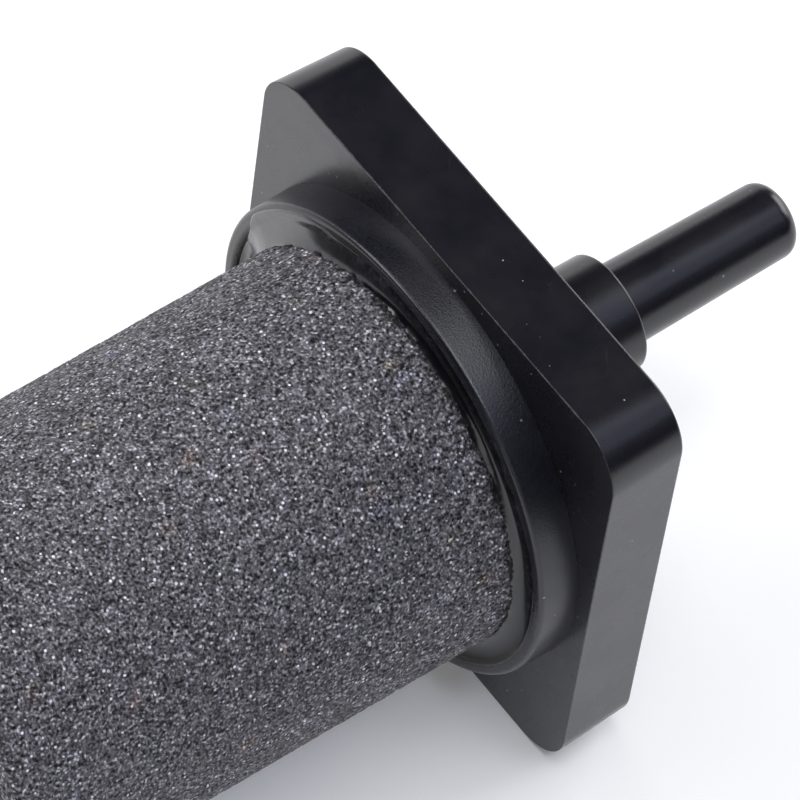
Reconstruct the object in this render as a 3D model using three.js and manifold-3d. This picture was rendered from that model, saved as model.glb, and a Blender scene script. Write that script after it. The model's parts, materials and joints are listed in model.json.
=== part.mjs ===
// A cylindrical air stone for a pond or aquarium: a porous mineral cylinder glued into the round
// socket of a square moulded base, whose hose spigot feeds air into the stone's blind bore.
// Millimetres, +Z up. The part lies on one side of its square plate, as it does on a pond floor:
// X runs along the part's own axis towards the spigot, and the origin is under the middle of its box.

import * as THREE from 'three';
import { mergeVertices } from 'three/addons/utils/BufferGeometryUtils.js';
import Module from 'manifold-3d';

// Porous stone
const STONE_RADIUS = 15;
const STONE_END_RADIUS = 14.75;      // the green cylinder leaves its mould by this slight taper
const STONE_EXPOSED = 38.95;         // from the collar's lip to the free end
const STONE_EDGE = 0.6;              // rounding of the worn rims
const AIR_CHAMBER_RADIUS = 4;        // the blind bore that spreads the air
const AIR_CHAMBER_DEPTH = 31;

// Moulded base
const PLATE_SIDE = 38.4;             // across the flats at the stone side
const PLATE_THICKNESS = 6;
const PLATE_CORNER = 4.1;
const PLATE_DRAFT = 0.26;            // each side wall leans in by this much towards the back
const PLATE_EDGE = 0.2;
const COLLAR_RADIUS = 17.8;
const COLLAR_HEIGHT = 3;
const COLLAR_DRAFT = 0.05;
const LIP_EDGE = 0.35;               // rounding of the lip's outside
const SOCKET_RADIUS = 16.6;
const SOCKET_EDGE = 0.5;             // rounding of the lip towards the socket
const SOCKET_DEPTH = 2.9;            // below the plate's front face
const BOSS_RADIUS = 4.38;
const BOSS_LENGTH = 10.5;
const BOSS_DRAFT = 0.1;
const BOSS_FILLET = 0.5;
const BOSS_EDGE = 0.3;
const SPIGOT_ROOT_RADIUS = 3.03;
const SPIGOT_TIP_RADIUS = 2.84;
const SPIGOT_LENGTH = 14.7;
const SPIGOT_ROUND = 1.2;
const AIR_BORE_RADIUS = 1.3;

// Adhesive
const GLUE_BED = 0.8;                // space under the stone, glue and its clearances together
const GLUE_CREEP = 0.2;              // how far the meniscus climbs the stone past the lip
const GLUE_DIP = 0.49;               // how far below the lip it lies against the socket
const CLEARANCE = 0.1;               // between the glue and what it bonds

// Fineness of the faceted curves
const ROUND_STEPS = 64;
const ARC_STEPS = 4;
const WELD_DISTANCE = 1e-4;

const OVERCUT = 1;                   // how far the cutting shapes run past the faces they open

const LIP_X = -COLLAR_HEIGHT;
const STONE_FREE_X = LIP_X - STONE_EXPOSED;
const STONE_SEAT_X = SOCKET_DEPTH - GLUE_BED;
const SHOULDER_X = PLATE_THICKNESS + BOSS_LENGTH;
const SPIGOT_END_X = SHOULDER_X + SPIGOT_LENGTH;

const wasm = await Module();
wasm.setup();

// Outlines are lists of points (distance along the part's axis, distance from it).
function point(x, radius) {
  return new THREE.Vector2(x, radius);
}

// A round stretch of an outline about (x, radius), from one angle to another in degrees.
function arc(x, radius, size, fromDegrees, toDegrees) {
  const from = THREE.MathUtils.degToRad(fromDegrees);
  const to = THREE.MathUtils.degToRad(toDegrees);
  const curve = new THREE.EllipseCurve(x, radius, size, size, from, to, to < from);
  return curve.getPoints(ARC_STEPS);
}

// Turns an outline round the X axis.
function turned(outline) {
  const profile = outline.map((p) => new THREE.Vector2(p.y, p.x));
  const geometry = new THREE.LatheGeometry(profile, ROUND_STEPS);
  geometry.rotateZ(-Math.PI / 2);
  return geometry;
}

function toSolid(geometry) {
  const bare = geometry.clone();
  bare.deleteAttribute('normal');
  bare.deleteAttribute('uv');
  const welded = mergeVertices(bare, WELD_DISTANCE);
  return new wasm.Manifold(new wasm.Mesh({
    numProp: 3,
    vertProperties: new Float32Array(welded.attributes.position.array),
    triVerts: new Uint32Array(welded.index.array),
  }));
}

function toGeometry(solid) {
  const mesh = solid.getMesh();
  const geometry = new THREE.BufferGeometry();
  geometry.setAttribute('position', new THREE.BufferAttribute(mesh.vertProperties, 3));
  geometry.setIndex(new THREE.BufferAttribute(mesh.triVerts, 1));
  geometry.computeVertexNormals();
  return geometry;
}

function roundedSquare(side, radius) {
  const inner = side / 2 - radius;
  const shape = new THREE.Shape();
  const corners = [[inner, inner], [-inner, inner], [-inner, -inner], [inner, -inner]];
  corners.forEach(([u, v], i) => {
    shape.absarc(u, v, radius, i * Math.PI / 2, (i + 1) * Math.PI / 2);
  });
  shape.closePath();
  return shape;
}

// The square plate, with broken edges, narrowing towards its back by the moulding draft.
function plate() {
  const geometry = new THREE.ExtrudeGeometry(roundedSquare(PLATE_SIDE, PLATE_CORNER), {
    depth: PLATE_THICKNESS - 2 * PLATE_EDGE,
    bevelThickness: PLATE_EDGE,
    bevelSize: PLATE_EDGE,
    bevelOffset: -PLATE_EDGE,
    bevelSegments: 2,
    curveSegments: 2 * ARC_STEPS,
  });
  geometry.translate(0, 0, PLATE_EDGE);
  geometry.rotateY(Math.PI / 2);
  const position = geometry.attributes.position;
  for (let i = 0; i < position.count; i += 1) {
    const lean = PLATE_DRAFT * position.getX(i) / PLATE_THICKNESS;
    const scale = 1 - lean / (PLATE_SIDE / 2);
    position.setY(i, position.getY(i) * scale);
    position.setZ(i, position.getZ(i) * scale);
  }
  return geometry;
}

// The round wall that holds the stone, drawn as a full disc and hollowed by the socket.
function collar() {
  return turned([
    point(LIP_X, 0),
    ...arc(LIP_X + LIP_EDGE, COLLAR_RADIUS - LIP_EDGE, LIP_EDGE, 180, 90),
    point(PLATE_THICKNESS / 2, COLLAR_RADIUS + COLLAR_DRAFT),
    point(PLATE_THICKNESS / 2, 0),
  ]);
}

function bossAndSpigot() {
  const root = BOSS_RADIUS + BOSS_DRAFT;
  return turned([
    point(SOCKET_DEPTH, 0),
    point(SOCKET_DEPTH, root),
    point(PLATE_THICKNESS - PLATE_EDGE, root + BOSS_FILLET),
    ...arc(PLATE_THICKNESS + BOSS_FILLET, root + BOSS_FILLET, BOSS_FILLET, 180, 270),
    ...arc(SHOULDER_X - BOSS_EDGE, BOSS_RADIUS - BOSS_EDGE, BOSS_EDGE, 90, 0),
    point(SHOULDER_X, SPIGOT_ROOT_RADIUS),
    ...arc(SPIGOT_END_X - SPIGOT_ROUND, SPIGOT_TIP_RADIUS - SPIGOT_ROUND, SPIGOT_ROUND, 90, 0),
    point(SPIGOT_END_X, 0),
  ]);
}

// The space that the stone is glued into, with a rounded inner rim at the lip.
function socket() {
  const rim = SOCKET_RADIUS + SOCKET_EDGE;
  return turned([
    point(LIP_X - OVERCUT, 0),
    point(LIP_X - OVERCUT, rim),
    ...arc(LIP_X + SOCKET_EDGE, rim, SOCKET_EDGE, 180, 270),
    point(SOCKET_DEPTH, SOCKET_RADIUS),
    point(SOCKET_DEPTH, 0),
  ]);
}

function airBore() {
  return turned([
    point(SOCKET_DEPTH - OVERCUT, 0),
    point(SOCKET_DEPTH - OVERCUT, AIR_BORE_RADIUS),
    point(SPIGOT_END_X + OVERCUT, AIR_BORE_RADIUS),
    point(SPIGOT_END_X + OVERCUT, 0),
  ]);
}

function baseMoulding() {
  const outside = toSolid(plate()).add(toSolid(collar())).add(toSolid(bossAndSpigot()));
  return toGeometry(outside.subtract(toSolid(socket())).subtract(toSolid(airBore())));
}

// The stone, open at the base end into its round-bottomed air chamber.
function porousStone() {
  const chamberEnd = STONE_SEAT_X - AIR_CHAMBER_DEPTH;
  return turned([
    point(STONE_FREE_X, 0),
    ...arc(STONE_FREE_X + STONE_EDGE, STONE_END_RADIUS - STONE_EDGE, STONE_EDGE, 180, 90),
    ...arc(STONE_SEAT_X - STONE_EDGE, STONE_RADIUS - STONE_EDGE, STONE_EDGE, 90, 0),
    point(STONE_SEAT_X, AIR_CHAMBER_RADIUS),
    ...arc(chamberEnd + AIR_CHAMBER_RADIUS, 0, AIR_CHAMBER_RADIUS, 90, 180),
  ]);
}

// One cast of glue: a bed under the stone and a sleeve up the socket, hollow along its top.
function adhesive() {
  const inner = STONE_RADIUS + CLEARANCE;
  const outer = SOCKET_RADIUS - CLEARANCE;
  const hollow = new THREE.QuadraticBezierCurve(
    point(LIP_X - GLUE_CREEP, inner),
    point(LIP_X + GLUE_DIP, (inner + outer) / 2),
    point(LIP_X + GLUE_DIP, outer),
  );
  const meniscus = hollow.getPoints(2 * ARC_STEPS);
  const bore = AIR_CHAMBER_RADIUS + CLEARANCE;
  const seat = STONE_SEAT_X + CLEARANCE;
  const floor = SOCKET_DEPTH - CLEARANCE;
  return turned([
    ...meniscus,
    point(floor, outer),
    point(floor, bore),
    point(seat, bore),
    point(seat, inner),
    meniscus[0],
  ]);
}

function blackPlastic() {
  return new THREE.MeshStandardMaterial({ color: 0x15161a, roughness: 0.22, metalness: 0 });
}

function cementedGrit() {
  return new THREE.MeshStandardMaterial({ color: 0x5c5b60, roughness: 0.95, metalness: 0 });
}

function blackGlue() {
  return new THREE.MeshStandardMaterial({ color: 0x101114, roughness: 0.12, metalness: 0 });
}

function named(name, geometry, material) {
  const mesh = new THREE.Mesh(geometry, material);
  mesh.name = name;
  return mesh;
}

const airStone = new THREE.Group();
airStone.add(named('base_moulding', baseMoulding(), blackPlastic()));
airStone.add(named('porous_stone', porousStone(), cementedGrit()));
airStone.add(named('adhesive', adhesive(), blackGlue()));

// The origin is under the middle of the whole part, on the surface that it lies on.
const box = new THREE.Box3().setFromObject(airStone);
airStone.position.set(-(box.min.x + box.max.x) / 2, 0, -box.min.z);

export default airStone;
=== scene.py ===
"""Looks of a cylindrical pond and aquarium air stone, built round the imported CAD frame.

The three real pieces are remade as finer meshes: the black base moulding, the porous stone and the
black glue. Each has a procedural material. Lengths are written in millimetres and turned into metres
by MM. The scales of noise and cell textures are in features per metre.
"""

import json
import math
import random
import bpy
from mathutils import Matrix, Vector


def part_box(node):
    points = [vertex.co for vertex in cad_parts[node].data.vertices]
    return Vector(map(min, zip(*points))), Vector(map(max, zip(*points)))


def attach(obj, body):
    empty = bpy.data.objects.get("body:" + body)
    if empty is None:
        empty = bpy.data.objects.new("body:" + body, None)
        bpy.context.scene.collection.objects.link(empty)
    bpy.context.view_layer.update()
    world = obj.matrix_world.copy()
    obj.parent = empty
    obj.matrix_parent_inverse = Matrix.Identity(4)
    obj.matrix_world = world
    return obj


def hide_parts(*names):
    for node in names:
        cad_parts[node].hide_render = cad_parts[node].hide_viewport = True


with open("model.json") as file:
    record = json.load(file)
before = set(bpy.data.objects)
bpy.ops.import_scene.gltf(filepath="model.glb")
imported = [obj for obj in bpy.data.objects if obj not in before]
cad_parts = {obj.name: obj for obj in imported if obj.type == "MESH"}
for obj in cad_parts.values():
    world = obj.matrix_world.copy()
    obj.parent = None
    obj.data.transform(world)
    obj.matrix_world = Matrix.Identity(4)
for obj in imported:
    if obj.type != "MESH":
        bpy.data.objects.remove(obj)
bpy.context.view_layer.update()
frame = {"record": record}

from types import SimpleNamespace

import bpy
from mathutils import Matrix, Vector, noise

MM = 0.001
mounts = {mount["name"]: Vector(mount["pos_m"]) for mount in frame["record"]["mounts"]}
base_low, base_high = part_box("base_moulding")
stone_low, stone_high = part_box("porous_stone")

# The part's own axis runs along X through this height.
AXIS_Z = (base_low.z + base_high.z) / 2

# Base moulding
PLATE_BACK_X = mounts["plate_back"].x
PLATE_FRONT_X = PLATE_BACK_X - 6 * MM
SHOULDER_X = mounts["hose_shoulder"].x
SPIGOT_END_X = base_high.x
LIP_X = base_low.x
SOCKET_FLOOR_X = PLATE_FRONT_X + 2.9 * MM
PLATE_HALF = 19.2 * MM
PLATE_CORNER = 4.1 * MM
PLATE_DRAFT = 0.26 * MM
PLATE_FRONT_EDGE = 0.07 * MM
PLATE_BACK_EDGE = 0.22 * MM
COLLAR_RADIUS = 17.8 * MM
COLLAR_FOOT_RADIUS = 17.85 * MM
LIP_EDGE = 0.35 * MM
SOCKET_RADIUS = 16.6 * MM
SOCKET_EDGE = 0.5 * MM
BOSS_RADIUS = 4.38 * MM
BOSS_ROOT_RADIUS = 4.48 * MM
BOSS_FILLET = 0.5 * MM
BOSS_EDGE = 0.28 * MM
SPIGOT_ROOT_RADIUS = 3.03 * MM
SPIGOT_TIP_RADIUS = 2.84 * MM
SPIGOT_ROUND = 1.2 * MM
SPIGOT_ROOT_FILLET = 0.2 * MM
AIR_BORE_RADIUS = 1.3 * MM
AIR_BORE_EDGE = 0.12 * MM

# Porous stone
STONE_RADIUS = (stone_high.y - stone_low.y) / 2
STONE_END_RADIUS = STONE_RADIUS - 0.25 * MM
STONE_FREE_X = stone_low.x
STONE_SEAT_X = stone_high.x
STONE_EDGE = 0.6 * MM
CHAMBER_RADIUS = 4 * MM
CHAMBER_DEPTH = 31 * MM

# Roughness of the stone's skin
SKIN_COLUMNS = 376
SKIN_PITCH = 0.25 * MM
LUMP_HEIGHT = 0.025 * MM
LUMP_SCALE = 450
GRIT_HEIGHT = 0.05 * MM
GRIT_SHIFT = 0.07 * MM               # how far a point may move sideways
PIT_DEPTH = 0.12 * MM
PIT_SCALE = 1300
PIT_RARITY = 0.36                    # the noise has to pass this to break out a pit
CROWDED_RADIUS = 0.6 * STONE_RADIUS  # the end's points lie closer inside this, and are moved less

# Glue. From the stone its surface falls to a level in the socket, then turns up and wets the socket's
# rounding. Heights and depths are from the lip's plane.
GLUE_COLUMNS = 1080
GLUE_STEPS = 64
GLUE_CREEP = 0.12 * MM               # how far it climbs the stone past the lip
GLUE_LEVEL = 0.49 * MM               # how deep its level lies
GLUE_REACH = 0.3 * MM                # how far from the stone it falls towards its level
GLUE_BLEND = 0.16 * MM               # how softly it turns up into what wets the rounding
LEAST_BLEND = 0.01 * MM              # the same at its very edge
GLUE_WETS = 0.1 * MM                 # how far it wets the rounding above its level
GLUE_OVERLAP = 0.01 * MM             # how far its edge dips into the moulding
RIM_WANDER = 0.04 * MM               # how unevenly its edge runs
WICK = 0.08 * MM                     # how unevenly it soaks up between the stone's grains
WICK_REACH = 0.1 * MM                # how far from the stone that unevenness dies away
FLOOD_LEVEL = 0.03 * MM              # how high its level stands where the socket is flooded
FLOOD_CREEP = 0.4 * MM               # how far it climbs the stone there
GENTLE_REACH = 0.72 * MM             # how far from the stone it falls where it falls slowly
SUNK_LEVEL = 0.26 * MM               # how much deeper the level lies just before the flood
OVERRUN_WETS = 1.19 * MM             # how far it reaches up the rounding and out over the lip
OVERRUN_FILM = 0.035 * MM            # how thick it lies on the lip there
OVERRUN_EDGE = 0.14 * MM             # over what width that film thins to its edge
SMEAR_WETS = 0.55 * MM               # how much further it wets the rounding where it is smeared up it
SMEAR_REACH = 0.6 * MM               # how far from its edge it falls to its level

# Where the glue does what, in degrees about the axis from +Y towards +Z: the start, the end, and over
# how many degrees within them it comes and goes.
FLOOD = (5, 88, 24, 32)              # the socket is flooded
OVERRUN = (21, 66, 9, 14)            # the flood has run over the lip
SUNK = (-64, 30, 36, 26)             # its level is deeper
SMEAR = (155, 265, 36, 30)           # it is smeared up the rounding
GENTLE = (-60, 112, 30, 42)          # it falls from the stone slowly

# Offsets that give each use of the noise a stretch of its own
PIT_OFFSET = Vector((1, 1, 1))
RIM_OFFSET = Vector((0, 7, 0))
WICK_OFFSET = Vector((3, 0, 0))

HOLD = 0.04 * MM                     # keeps a straight stretch's shading straight up to its rounding
FLAT_HOLD = 0.002                    # the same for a flat between a circle and the square, as a share


# ---------------------------------------------------------------- meshes

def arc(x, radius, size, from_degrees, to_degrees, steps=8):
    """Points (x, radius) round a centre, for a rounded stretch of an outline."""
    points = []
    for i in range(steps + 1):
        angle = math.radians(from_degrees + (to_degrees - from_degrees) * i / steps)
        points.append((x + size * math.cos(angle), radius + size * math.sin(angle)))
    return points


def straight(start, end, steps=1):
    """Points strictly between two ends: one close to each end, and evenly spaced ones between."""
    a, b = Vector(start), Vector(end)
    length = (b - a).length
    shares = [HOLD / length]
    shares += [i / steps for i in range(1, steps)]
    shares += [1 - HOLD / length]
    return [tuple(a.lerp(b, share)) for share in shares]


def object_from(name, vertices, faces, material):
    mesh = bpy.data.meshes.new(name)
    mesh.from_pydata(vertices, [], faces)
    mesh.validate()
    mesh.update()
    mesh.polygons.foreach_set("use_smooth", [True] * len(mesh.polygons))
    mesh.materials.append(material)
    piece = bpy.data.objects.new(name, mesh)
    bpy.context.scene.collection.objects.link(piece)
    return piece


def ring_faces(rows, columns, closed_rows=True):
    """Quads between rows of points, each row a closed ring; closed rows join the last to the first."""
    faces = []
    for i in range(rows if closed_rows else rows - 1):
        near, far = i * columns, (i + 1) % rows * columns
        for j in range(columns):
            k = (j + 1) % columns
            faces.append((near + j, near + k, far + k, far + j))
    return faces


def square_outline():
    """The plate's outline as (point, outward normal) pairs, evenly stepped round each corner."""
    side_steps = 40
    corner_steps = 24
    inner = PLATE_HALF - PLATE_CORNER
    outline = []
    for quarter in range(4):
        turn = Matrix.Rotation(quarter * math.pi / 2, 2)
        for i in range(corner_steps):
            angle = math.pi / 2 * i / corner_steps
            normal = Vector((math.cos(angle), math.sin(angle)))
            outline.append((turn @ (Vector((inner, inner)) + PLATE_CORNER * normal), turn @ normal))
        for i in range(side_steps):
            along = inner - 2 * inner * i / side_steps
            outline.append((turn @ Vector((along, PLATE_HALF)), turn @ Vector((0, 1))))
    return outline


def moulding_rows():
    """Rows from the air bore round the outside and back: (x, radius, inset, share of the square)."""
    rows = []

    def turned(points):
        rows.extend((x, radius, 0, 0) for x, radius in points)

    def flat(x, radius, inset, outwards):
        shares = [FLAT_HOLD] + [i / 10 for i in range(1, 10)] + [1 - FLAT_HOLD]
        if not outwards:
            shares.reverse()
        rows.extend((x, radius, inset, share) for share in shares)

    def walled(points):
        rows.extend((x, 0, inset, 1) for x, inset in points)

    bore_end = (SPIGOT_END_X - AIR_BORE_EDGE, AIR_BORE_RADIUS)
    turned([(SOCKET_FLOOR_X, AIR_BORE_RADIUS)])
    turned(straight((SOCKET_FLOOR_X, AIR_BORE_RADIUS), bore_end, 4))
    turned(arc(SPIGOT_END_X - AIR_BORE_EDGE, AIR_BORE_RADIUS + AIR_BORE_EDGE, AIR_BORE_EDGE, 270, 360, 4))
    tip = arc(SPIGOT_END_X - SPIGOT_ROUND, SPIGOT_TIP_RADIUS - SPIGOT_ROUND, SPIGOT_ROUND, 0, 90, 16)
    root = arc(SHOULDER_X + SPIGOT_ROOT_FILLET, SPIGOT_ROOT_RADIUS + SPIGOT_ROOT_FILLET,
               SPIGOT_ROOT_FILLET, 270, 180, 6)
    turned(straight(rows[-1][:2], tip[0]))
    turned(tip)
    turned(straight(tip[-1], root[0], 6))
    turned(root)
    boss_edge = arc(SHOULDER_X - BOSS_EDGE, BOSS_RADIUS - BOSS_EDGE, BOSS_EDGE, 0, 90, 8)
    boss_root = arc(PLATE_BACK_X + BOSS_FILLET, BOSS_ROOT_RADIUS + BOSS_FILLET, BOSS_FILLET, 270, 180, 8)
    turned(straight(root[-1], boss_edge[0]))
    turned(boss_edge)
    turned(straight(boss_edge[-1], boss_root[0], 4))
    turned(boss_root)

    back_inset = PLATE_DRAFT + PLATE_BACK_EDGE
    flat(PLATE_BACK_X, BOSS_ROOT_RADIUS + BOSS_FILLET, back_inset, True)
    back_edge = arc(PLATE_BACK_X - PLATE_BACK_EDGE, back_inset, PLATE_BACK_EDGE, 0, -90, 5)
    front_edge = arc(PLATE_FRONT_X + PLATE_FRONT_EDGE, PLATE_FRONT_EDGE, PLATE_FRONT_EDGE, -90, -180, 5)
    walled(back_edge)
    walled(straight(back_edge[-1], front_edge[0], 4))
    walled(front_edge)
    flat(PLATE_FRONT_X, COLLAR_FOOT_RADIUS, PLATE_FRONT_EDGE, False)

    foot = (PLATE_FRONT_X, COLLAR_FOOT_RADIUS)
    lip_outer = arc(LIP_X + LIP_EDGE, COLLAR_RADIUS - LIP_EDGE, LIP_EDGE, 90, 180, 8)
    lip_inner = arc(LIP_X + SOCKET_EDGE, SOCKET_RADIUS + SOCKET_EDGE, SOCKET_EDGE, 180, 270, 10)
    turned([foot])
    turned(straight(foot, lip_outer[0], 3))
    turned(lip_outer)
    turned(straight(lip_outer[-1], lip_inner[0]))
    turned(lip_inner)
    turned(straight(lip_inner[-1], (SOCKET_FLOOR_X, SOCKET_RADIUS), 2))
    turned([(SOCKET_FLOOR_X, SOCKET_RADIUS)])
    turned(straight((SOCKET_FLOOR_X, SOCKET_RADIUS), (SOCKET_FLOOR_X, AIR_BORE_RADIUS), 4))
    return rows


def base_moulding(material):
    outline = square_outline()
    rows = moulding_rows()
    vertices = []
    for x, radius, inset, share in rows:
        for point, normal in outline:
            on_circle = point.normalized() * radius
            on_square = point - normal * inset
            y, z = on_circle.lerp(on_square, share)
            vertices.append((x, y, z + AXIS_Z))
    faces = ring_faces(len(rows), len(outline))
    piece = object_from("base_moulding_detailed", vertices, faces, material)
    piece.data.set_sharp_from_angle(angle=math.radians(60))
    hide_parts("base_moulding")
    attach(piece, "root")


def rough(point, scale, depth=3):
    """Repeatable fractal noise from about -1 to 1; the scale multiplies the point."""
    return noise.fractal(point * scale, 1.0, 2.0, depth, noise_basis="PERLIN_ORIGINAL")


def stone_outline():
    """The stone's rough skin, from the middle of its free end to where it enters the glue."""
    end_flat = STONE_END_RADIUS - STONE_EDGE
    points = [(STONE_FREE_X, i * SKIN_PITCH) for i in range(1, int(end_flat / SKIN_PITCH))]
    points += arc(STONE_FREE_X + STONE_EDGE, end_flat, STONE_EDGE, 180, 90, 4)
    side_length = STONE_SEAT_X - STONE_EDGE - points[-1][0]
    side_steps = int(side_length / SKIN_PITCH)
    for i in range(1, side_steps + 1):
        share = i / side_steps
        points.append((points[-1][0] + side_length / side_steps,
                       STONE_END_RADIUS + (STONE_RADIUS - STONE_END_RADIUS) * share))
    return points


def chamber_outline():
    """The seat end and the smooth air chamber, which the base hides."""
    seat_flat = STONE_RADIUS - STONE_EDGE
    bottom = STONE_SEAT_X - CHAMBER_DEPTH + CHAMBER_RADIUS
    points = arc(STONE_SEAT_X - STONE_EDGE, seat_flat, STONE_EDGE, 90, 0, 3)
    points += [(STONE_SEAT_X, CHAMBER_RADIUS)]
    points += arc(bottom, 0, CHAMBER_RADIUS, 90, 175, 6)
    return points


def roughened(place, outward, draws):
    """A point of the stone's skin, moved by coarse lumps, grain-sized grit and broken-out pits."""
    room = min(1.0, math.hypot(place.y, place.z) / CROWDED_RADIUS)
    lumps = LUMP_HEIGHT * rough(place, LUMP_SCALE)
    grit = GRIT_HEIGHT * room * draws.uniform(-1, 1)
    pit = -PIT_DEPTH * max(0.0, rough(place + PIT_OFFSET, PIT_SCALE, 2) - PIT_RARITY)
    shift = Vector([draws.uniform(-1, 1) for _ in range(3)]) * GRIT_SHIFT * room
    return place + outward * (lumps + grit + pit) + shift - outward * outward.dot(shift)


def porous_stone(material):
    """Bonded grit with a rough skin, and the smooth surfaces that the base hides."""
    columns = SKIN_COLUMNS
    draws = random.Random(7)
    outline = stone_outline()
    skin_rows = len(outline)
    outline += chamber_outline()
    on_end = STONE_FREE_X + 1e-9
    vertices = []
    for row, (x, radius) in enumerate(outline):
        for j in range(columns):
            angle = 2 * math.pi * (j + 0.5 * (row % 2)) / columns
            around = Vector((0, math.cos(angle), math.sin(angle)))
            place = Vector((x, 0, 0)) + radius * around
            if row < skin_rows:
                place = roughened(place, Vector((-1, 0, 0)) if x <= on_end else around, draws)
            vertices.append((place.x, place.y, place.z + AXIS_Z))
    faces = ring_faces(len(outline), columns, closed_rows=False)
    first = len(vertices)
    vertices.append((STONE_FREE_X, 0, AXIS_Z))
    vertices.append((STONE_SEAT_X - CHAMBER_DEPTH, 0, AXIS_Z))
    last_row = (len(outline) - 1) * columns
    for j in range(columns):
        k = (j + 1) % columns
        faces.append((first, k, j))
        faces.append((first + 1, last_row + j, last_row + k))
    piece = object_from("porous_stone_detailed", vertices, faces, material)
    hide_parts("porous_stone")
    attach(piece, "root")


def step(share):
    """A smooth step from 0 to 1."""
    share = min(max(share, 0.0), 1.0)
    return share * share * (3 - 2 * share)


def plateau(angle, start, end, rise, fall):
    """A share that is 1 within a range of degrees and 0 outside it, with soft ends inside it."""
    degrees = (math.degrees(angle) + 90) % 360 - 90
    return step((degrees - start) / rise) * step((end - degrees) / fall)


def along_lip(distance):
    """The radius reached by going up the socket's rounding and out over the lip."""
    turned = distance / SOCKET_EDGE
    if turned < math.pi / 2:
        return SOCKET_RADIUS + SOCKET_EDGE * (1 - math.cos(turned))
    return SOCKET_RADIUS + SOCKET_EDGE * (1 - math.pi / 2) + distance


def reach_of(height):
    """How far up the socket's rounding a height above the lip's plane is met."""
    return SOCKET_EDGE * math.asin(min(max(1 + height / SOCKET_EDGE, 0.0), 1.0))


def lip_height(radius):
    """Height of the lip, its rounding and the socket's wall, taken as a steep slope, at a radius."""
    inwards = SOCKET_RADIUS + SOCKET_EDGE - radius
    if inwards <= 0:
        return 0.0
    if inwards < SOCKET_EDGE:
        return math.sqrt(SOCKET_EDGE ** 2 - inwards ** 2) - SOCKET_EDGE
    return -SOCKET_EDGE - 4 * (inwards - SOCKET_EDGE)


def upper(a, b, blend):
    """The higher of two heights, with a soft turn between them."""
    return (a + b + math.hypot(a - b, blend)) / 2


def glue_section(angle):
    """What the glue does at one angle about the axis."""
    around = Vector((math.cos(angle), math.sin(angle), 0))
    flood = plateau(angle, *FLOOD)
    over = plateau(angle, *OVERRUN)
    smear = plateau(angle, *SMEAR)
    level = -GLUE_LEVEL + (GLUE_LEVEL + FLOOD_LEVEL) * flood - SUNK_LEVEL * plateau(angle, *SUNK)
    wets = reach_of(level) + GLUE_WETS + SMEAR_WETS * smear
    wets += (OVERRUN_WETS - wets) * over + RIM_WANDER * rough(around + RIM_OFFSET, 4)
    gentle = max(plateau(angle, *GENTLE), smear)
    return SimpleNamespace(
        around=around,
        over=over,
        level=level,
        rim=along_lip(wets),
        climb=GLUE_CREEP + (FLOOD_CREEP - GLUE_CREEP) * flood,
        reach=GLUE_REACH + (GENTLE_REACH - GLUE_REACH) * gentle,
        wick=WICK * rough(around + WICK_OFFSET, 9, 5),
    )


def glue_height(at, radius):
    """Height of the glue's surface at a radius between the stone and the rim of a section."""
    beyond = STONE_RADIUS - radius
    meniscus = at.level + (at.climb - at.level) * math.exp(beyond / at.reach)
    meniscus += at.wick * math.exp(beyond / WICK_REACH)
    meniscus += max(0.0, lip_height(at.rim) - at.level) * math.exp((radius - at.rim) / SMEAR_REACH)
    edge = OVERRUN_EDGE * (3 - 2 * at.over)
    thinning = math.sqrt((at.rim - radius) / edge)
    film = OVERRUN_FILM * at.over * min(1.0, thinning)
    soft = min(GLUE_BLEND, at.rim - radius) + LEAST_BLEND
    return upper(meniscus, lip_height(radius) + film, soft)


def glue(material):
    """The cast of glue: the surface that shows between the stone and the lip, and what is below it."""
    # It starts a little inside the stone's rough skin, and its hidden sides stop just short of the moulding.
    contact = STONE_RADIUS - 0.12 * MM
    sleeve = SOCKET_RADIUS - 0.02 * MM
    bed = STONE_SEAT_X + 0.05 * MM
    floor = SOCKET_FLOOR_X - 0.02 * MM
    below = [(LIP_X + 0.6 * MM, sleeve), (floor, sleeve),
             (floor, CHAMBER_RADIUS), (bed, CHAMBER_RADIUS), (bed, contact)]
    sections = [glue_section(2 * math.pi * j / GLUE_COLUMNS) for j in range(GLUE_COLUMNS)]
    vertices = []

    def add_point(x, radius, around):
        vertices.append((x, radius * around.x, radius * around.y + AXIS_Z))

    for i in range(GLUE_STEPS):
        for at in sections:
            radius = contact + (at.rim - contact) * i / GLUE_STEPS
            add_point(LIP_X - glue_height(at, radius), radius, at.around)
    for at in sections:
        add_point(LIP_X - lip_height(at.rim) + GLUE_OVERLAP, at.rim, at.around)
    for x, radius in below:
        for at in sections:
            add_point(x, radius, at.around)
    faces = ring_faces(GLUE_STEPS + 1 + len(below), GLUE_COLUMNS)
    piece = object_from("adhesive_detailed", vertices, faces, material)
    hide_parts("adhesive")
    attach(piece, "root")


# ---------------------------------------------------------------- materials

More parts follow.
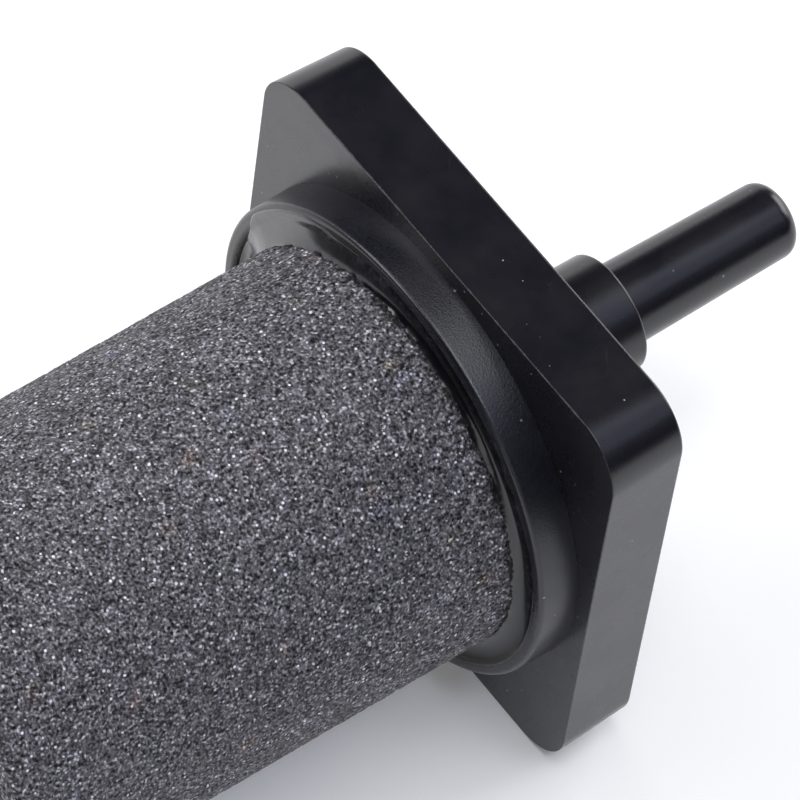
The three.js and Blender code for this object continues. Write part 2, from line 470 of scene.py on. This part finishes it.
class Nodes:
    """A short way to write a material's node tree."""

    def __init__(self, name):
        self.material = bpy.data.materials.new(name)
        self.material.use_nodes = True
        self.tree = self.material.node_tree
        self.shader = self.tree.nodes["Principled BSDF"]
        self.place = self.add("ShaderNodeTexCoord").outputs["Object"]

    def add(self, kind, inputs=None, **settings):
        node = self.tree.nodes.new(kind)
        for name, value in settings.items():
            setattr(node, name, value)
        for name, value in (inputs or {}).items():
            self.put(node.inputs[name], value)
        return node

    def put(self, socket, value):
        if isinstance(value, bpy.types.NodeSocket):
            self.tree.links.new(value, socket)
        else:
            socket.default_value = value

    def coordinates(self):
        return self.add("ShaderNodeSeparateXYZ", {"Vector": self.place}).outputs

    def noise(self, scale, detail=2.0, roughness=0.5):
        node = self.add("ShaderNodeTexNoise", {"Vector": self.place, "Scale": scale,
                                               "Detail": detail, "Roughness": roughness})
        return node.outputs["Fac"]

    def cells(self, scale):
        """Cells round scattered points: how far the nearest point is, and three random values each."""
        node = self.add("ShaderNodeTexVoronoi", {"Vector": self.place, "Scale": scale})
        split = self.add("ShaderNodeSeparateColor", {"Color": node.outputs["Color"]})
        return node.outputs["Distance"], split.outputs

    def cell_borders(self, scale):
        node = self.add("ShaderNodeTexVoronoi", {"Vector": self.place, "Scale": scale},
                        feature="DISTANCE_TO_EDGE")
        return node.outputs["Distance"]

    def remap(self, value, low, high, to_low=0.0, to_high=1.0):
        node = self.add("ShaderNodeMapRange", {"Value": value, "From Min": low, "From Max": high,
                                               "To Min": to_low, "To Max": to_high})
        return node.outputs["Result"]

    def maths(self, operation, a, b=0.0):
        node = self.add("ShaderNodeMath", operation=operation)
        self.put(node.inputs[0], a)
        self.put(node.inputs[1], b)
        return node.outputs["Value"]

    def times(self, a, b):
        return self.maths("MULTIPLY", a, b)

    def ramp(self, value, stops):
        node = self.add("ShaderNodeValToRGB", {"Fac": value})
        elements = node.color_ramp.elements
        while len(elements) < len(stops):
            elements.new(1.0)
        for element, (position, colour) in zip(elements, stops):
            element.position = position
            element.color = (*colour, 1.0)
        return node.outputs["Color"]

    def mix(self, share, a, b, blend="MIX"):
        node = self.add("ShaderNodeMix", data_type="RGBA", blend_type=blend)
        self.put(node.inputs["Factor"], share)
        for socket, value in ((node.inputs[6], a), (node.inputs[7], b)):
            self.put(socket, (*value, 1.0) if isinstance(value, tuple) else value)
        return node.outputs[2]

    def bump(self, height, distance, strength=1.0, normal=None):
        inputs = {"Height": height, "Distance": distance, "Strength": strength}
        if normal is not None:
            inputs["Normal"] = normal
        return self.add("ShaderNodeBump", inputs).outputs["Normal"]

    def finish(self, **sockets):
        for name, value in sockets.items():
            self.put(self.shader.inputs[name.replace("_", " ")], value)
        return self.material


GRAIN_SCALE = 4900
CHIP_AND_GLINT_SCALE = 3400
STAIN_SCALE = 520
SOAKED_BLACK = (0.006, 0.006, 0.008)
STONE_TONE = 0.95                    # lightens or darkens the whole stone


def grey(level):
    """A grey with the stone's slight violet cast."""
    level *= STONE_TONE
    return (level, level * 0.972, level * 1.09)


def grain_tone(n, grain, body):
    """Grains from near black to pale, with dark gaps between them and slow clouds over them."""
    level = n.maths("ADD", n.times(grain["Red"], 0.5), n.remap(body, 0.22, 0.78, 0.0, 0.5))
    tone = n.ramp(level, [(0.08, grey(0.004)), (0.22, grey(0.024)), (0.36, grey(0.068)), (0.5, grey(0.12)),
                          (0.66, grey(0.19)), (0.82, grey(0.38)), (1.0, grey(0.8))])
    cloud = n.remap(n.noise(170, 3.0, 0.55), 0.3, 0.7, 0.93, 1.07)
    gaps = n.remap(n.cell_borders(GRAIN_SCALE), 0.0, 0.12, 0.45, 1.0)
    shade = n.times(gaps, cloud)
    shade = n.add("ShaderNodeCombineColor", {"Red": shade, "Green": shade, "Blue": shade}).outputs["Color"]
    return n.mix(1.0, tone, shade, "MULTIPLY")


def with_chips_and_painted_glints(n, tone):
    """Adds the few bright chips: pale grains that also stand in as painted glints of the crystal grains."""
    distance, chip_and_glint = n.cells(CHIP_AND_GLINT_SCALE)
    share = n.times(n.remap(distance, 0.42, 0.3), n.remap(chip_and_glint["Red"], 0.88, 0.99))
    # Painted glints: these palest cells stand in for the glints of crystal grains as well as for pale
    # grains.
    return n.mix(share, tone, grey(0.9))


def with_stains(n, tone):
    """Tints small patches brown, olive or blue."""
    distance, stain = n.cells(STAIN_SCALE)
    share = n.times(n.remap(distance, 0.5, 0.15), n.remap(stain["Red"], 0.86, 0.9))
    tint = n.ramp(stain["Green"], [(0.0, (1.3, 0.95, 0.9)), (0.4, (1.25, 1.05, 0.8)),
                                   (0.75, (1.0, 1.08, 0.85)), (1.0, (0.9, 0.9, 1.25))])
    return n.mix(n.times(share, 0.8), tone, n.mix(1.0, tone, tint, "MULTIPLY"))


def with_soaked_rim(n, tone):
    """Blackens the grit that the glue soaked, up to an uneven line just past the lip."""
    soaked_to = n.remap(n.noise(900, 3.0, 0.6), 0.3, 0.7, LIP_X - 0.2 * MM, LIP_X - 1.0 * MM)
    soaked = n.remap(n.maths("SUBTRACT", n.coordinates()["X"], soaked_to), 0.0, 0.25 * MM)
    return n.mix(n.times(soaked, 0.85), tone, SOAKED_BLACK)


def grit_material():
    """Fine bonded mineral grit: grey grains, bright chips that are partly painted glints, faint stains and a
    rim soaked with glue.
    """
    n = Nodes("bonded_grit")
    distance, grain = n.cells(GRAIN_SCALE)
    body = n.noise(4800, 0.0)
    tone = with_soaked_rim(n, with_stains(n, with_chips_and_painted_glints(n, grain_tone(n, grain, body))))
    relief = n.maths("ADD", n.times(distance, -0.6), body)
    normal = n.bump(relief, 0.12 * MM, 0.8)
    shine = n.remap(grain["Blue"], 0.0, 1.0, 0.45, 0.95)
    return n.finish(Base_Color=tone, Roughness=shine, Normal=normal, Specular_IOR_Level=0.25)


DUST_SCALE = 1150
MOULD_GRAIN_SCALE = 8500
PLASTIC_BLACK = (0.0045, 0.0045, 0.0085)
WALL_GRAIN_BLACK = (0.007, 0.0075, 0.0135)
WORN_GREY = (0.09, 0.09, 0.11)
DUST_GREY = (0.3, 0.3, 0.31)


def collar_wall(n, place, height):
    """The share of a place that is on the collar's outside wall."""
    square = n.maths("ADD", n.maths("POWER", place["Y"], 2.0), n.maths("POWER", height, 2.0))
    radius = n.maths("SQRT", square)
    return n.times(n.maths("LESS_THAN", place["X"], PLATE_FRONT_X),
                   n.remap(radius, COLLAR_RADIUS - 0.12 * MM, COLLAR_RADIUS - 0.02 * MM))


def worn_front_edge(n, place, height):
    """Uneven wear along the plate's front edge."""
    at_side = n.maths("MAXIMUM", n.maths("ABSOLUTE", place["Y"]), n.maths("ABSOLUTE", height))
    at_edge = n.times(n.remap(at_side, PLATE_HALF - 0.12 * MM, PLATE_HALF - 0.03 * MM),
                      n.remap(place["X"], PLATE_FRONT_X + 0.14 * MM, PLATE_FRONT_X + 0.05 * MM))
    return n.times(at_edge, n.remap(n.noise(1600, 4.0, 0.7), 0.5, 0.62))


def dust_specks(n):
    """Specks of several sizes and strengths, more of them in some places."""
    distance, speck = n.cells(DUST_SCALE)
    spot = n.maths("LESS_THAN", distance, n.remap(speck["Green"], 0.0, 1.0, 0.04, 0.11))
    amount = n.remap(n.noise(140, 2.0), 0.42, 0.62, 0.03, 0.42)
    kept = n.times(spot, n.maths("LESS_THAN", speck["Red"], amount))
    return n.times(kept, n.remap(speck["Blue"], 0.0, 1.0, 0.15, 1.0))


def hairlines(n):
    """A few thin curved marks, where a slow noise crosses its middle value."""
    off_middle = n.maths("ABSOLUTE", n.maths("SUBTRACT", n.noise(330, 1.0), 0.5))
    return n.times(n.remap(off_middle, 0.004, 0.001), n.remap(n.noise(210, 1.0), 0.6, 0.64))


def plastic_material():
    """Black moulded plastic: smooth flats, a satin collar wall, a worn edge, hairlines and pale dust."""
    n = Nodes("black_plastic")
    place = n.coordinates()
    height = n.maths("SUBTRACT", place["Z"], AXIS_Z)
    wall = collar_wall(n, place, height)
    worn = worn_front_edge(n, place, height)
    dust = dust_specks(n)
    mould_grain = n.cells(MOULD_GRAIN_SCALE)[1]["Red"]
    flow = n.noise(260, 4.0, 0.6)

    colour = n.mix(n.times(worn, 0.5), PLASTIC_BLACK, WORN_GREY)
    colour = n.mix(n.times(wall, mould_grain), colour, WALL_GRAIN_BLACK)
    colour = n.mix(dust, colour, DUST_GREY)

    roughness = n.remap(flow, 0.3, 0.7, 0.24, 0.31)
    roughness = n.maths("ADD", roughness, n.times(wall, n.remap(mould_grain, 0.0, 1.0, 0.03, 0.12)))
    roughness = n.maths("ADD", roughness, n.times(hairlines(n), 0.12))
    roughness = n.maths("MAXIMUM", roughness, n.times(n.maths("MAXIMUM", dust, worn), 0.6))

    satin = n.times(n.noise(7000, 1.0, 0.5), n.maths("ADD", n.times(wall, 1.2), 0.12))
    normal = n.bump(satin, 0.02 * MM, 0.5)
    normal = n.bump(flow, 0.02 * MM, 0.15, normal)
    return n.finish(Base_Color=colour, Roughness=roughness, Normal=normal, IOR=1.58)


GLUE_BLACK = (0.004, 0.004, 0.006)
GLUE_PALER = (0.007, 0.007, 0.009)
# Colour of the painted sheen on the glue's +Y side
PAINTED_SHEEN_GREY = (0.16, 0.16, 0.17)


def glue_material():
    """Set black glue: glossier than the plastic, with faint ripples and a painted pale sheen on its +Y side.
    """
    n = Nodes("black_glue")
    place = n.coordinates()
    ripples = n.noise(420, 3.0, 0.5)
    normal = n.bump(ripples, 0.04 * MM, 0.12)
    roughness = n.remap(n.noise(900, 3.0), 0.3, 0.7, 0.15, 0.22)
    # Painted sheen: a pale patch on the glue's +Y side, where it catches the light, stands in for its
    # reflection there.
    painted_sheen = n.times(n.remap(place["Y"], 9 * MM, 14.5 * MM), n.remap(place["X"], LIP_X + 0.3 * MM, LIP_X))
    painted_sheen = n.times(painted_sheen, n.remap(n.noise(300, 4.0, 0.6), 0.25, 0.7, 0.4, 1.0))
    colour = n.mix(n.remap(ripples, 0.3, 0.7), GLUE_BLACK, GLUE_PALER)
    colour = n.mix(n.times(painted_sheen, 0.8), colour, PAINTED_SHEEN_GREY)
    return n.finish(Base_Color=colour, Roughness=roughness, Normal=normal, IOR=1.6)


# ---------------------------------------------------------------- camera, floor and light

VIEW_AZIMUTH = -44.05
VIEW_ELEVATION = 55.92
VIEW_ROLL = 8.98                     # degrees that the picture's up leans towards the stone's end
VIEW_DISTANCE = 518 * MM
VIEW_LENS = 347                      # a long lens, close to no perspective
VIEW_SENSOR = 36
AIM = Vector((PLATE_FRONT_X - 0.14 * MM, 1.61 * MM, AXIS_Z + 0.72 * MM))


def direction(azimuth, elevation):
    """From the part towards a place seen at that azimuth and elevation; azimuth 0 is the -Y side."""
    a, e = math.radians(azimuth), math.radians(elevation)
    return Vector((math.sin(a) * math.cos(e), -math.cos(a) * math.cos(e), math.sin(e)))


def make_camera():
    camera = bpy.data.objects.new("camera", bpy.data.cameras.new("camera"))
    camera.data.lens = VIEW_LENS
    camera.data.sensor_width = VIEW_SENSOR
    camera.data.clip_start = 0.01
    back = direction(VIEW_AZIMUTH, VIEW_ELEVATION)
    turn = back.to_track_quat("Z", "Y") @ Matrix.Rotation(math.radians(VIEW_ROLL), 4, "Z").to_quaternion()
    camera.rotation_mode = "QUATERNION"
    camera.rotation_quaternion = turn
    camera.location = AIM + back * VIEW_DISTANCE
    bpy.context.scene.collection.objects.link(camera)
    bpy.context.scene.camera = camera


FLOOR_HALF = 6000 * MM


def make_floor():
    """A plain pale floor that glows a little, which lightens the shadows on it."""
    white = (0.93, 0.93, 0.93, 1)
    material = Nodes("pale_floor").finish(Base_Color=white, Roughness=0.9,
                                          Emission_Color=white, Emission_Strength=0.14)
    corners = [(x * FLOOR_HALF, y * FLOOR_HALF, 0) for x, y in ((-1, -1), (1, -1), (1, 1), (-1, 1))]
    floor = object_from("floor", corners, [(0, 1, 2, 3)], material)


BOX_DISTANCE = 900 * MM
STUDIO_GLOW = 0.003
NEUTRAL = (1.0, 1.0, 1.0)
COOL = (0.83, 0.9, 1.18)


def soft_box(name, azimuth, elevation, span, rise, radiance, colour=NEUTRAL):
    """A soft box round the part; its span and rise are how wide and tall it looks, in degrees."""
    width = 2 * BOX_DISTANCE * math.tan(math.radians(span) / 2)
    height = 2 * BOX_DISTANCE * math.tan(math.radians(rise) / 2)
    lamp = bpy.data.lights.new(name, "AREA")
    lamp.shape = "RECTANGLE"
    lamp.size = width
    lamp.size_y = height
    lamp.energy = radiance * math.pi * width * height
    lamp.color = colour
    box = bpy.data.objects.new(name, lamp)
    away = direction(azimuth, elevation)
    box.rotation_mode = "QUATERNION"
    box.rotation_quaternion = away.to_track_quat("Z", "Y")
    box.location = AIM + away * BOX_DISTANCE
    box.visible_camera = False
    bpy.context.scene.collection.objects.link(box)


def make_world():
    """A studio that is dark for the part, and pale where the camera looks past the floor."""
    world = bpy.data.worlds.new("studio")
    world.use_nodes = True
    nodes = world.node_tree.nodes
    background = nodes["Background"].inputs
    background["Color"].default_value = (0.93, 0.93, 0.95, 1)
    path = nodes.new("ShaderNodeLightPath")
    strength = nodes.new("ShaderNodeMapRange")
    strength.inputs["To Min"].default_value = STUDIO_GLOW
    world.node_tree.links.new(path.outputs["Is Camera Ray"], strength.inputs["Value"])
    world.node_tree.links.new(strength.outputs["Result"], background["Strength"])
    bpy.context.scene.world = world
    bpy.context.scene.view_settings.view_transform = "Standard"


def make_light():
    """Soft boxes all round the part and above it; the cool ones tint the plastic's highlights."""
    soft_box("end", 93, 22, 42, 33, 4.3)
    soft_box("front", 216, 42, 40, 28, 4.6)
    soft_box("fill", 315, 24, 30, 20, 1.2)
    soft_box("low_back", 150, 9, 30, 18, 1.4)
    soft_box("low_left", 180, 9, 30, 18, 1.6)
    soft_box("back_top", 160, 63, 18, 18, 1.2)
    soft_box("right", 30, 27, 27, 18, 0.12)
    soft_box("right_high", 32, 44, 24, 18, 0.75, COOL)
    soft_box("right_top", 52, 62, 34, 20, 0.72, COOL)
    soft_box("lip_light", 355, 62, 9, 9, 12, COOL)
    soft_box("top", 0, 81, 36, 36, 3.7)


base_moulding(plastic_material())
porous_stone(grit_material())
glue(glue_material())
make_floor()
make_world()
make_light()
make_camera()
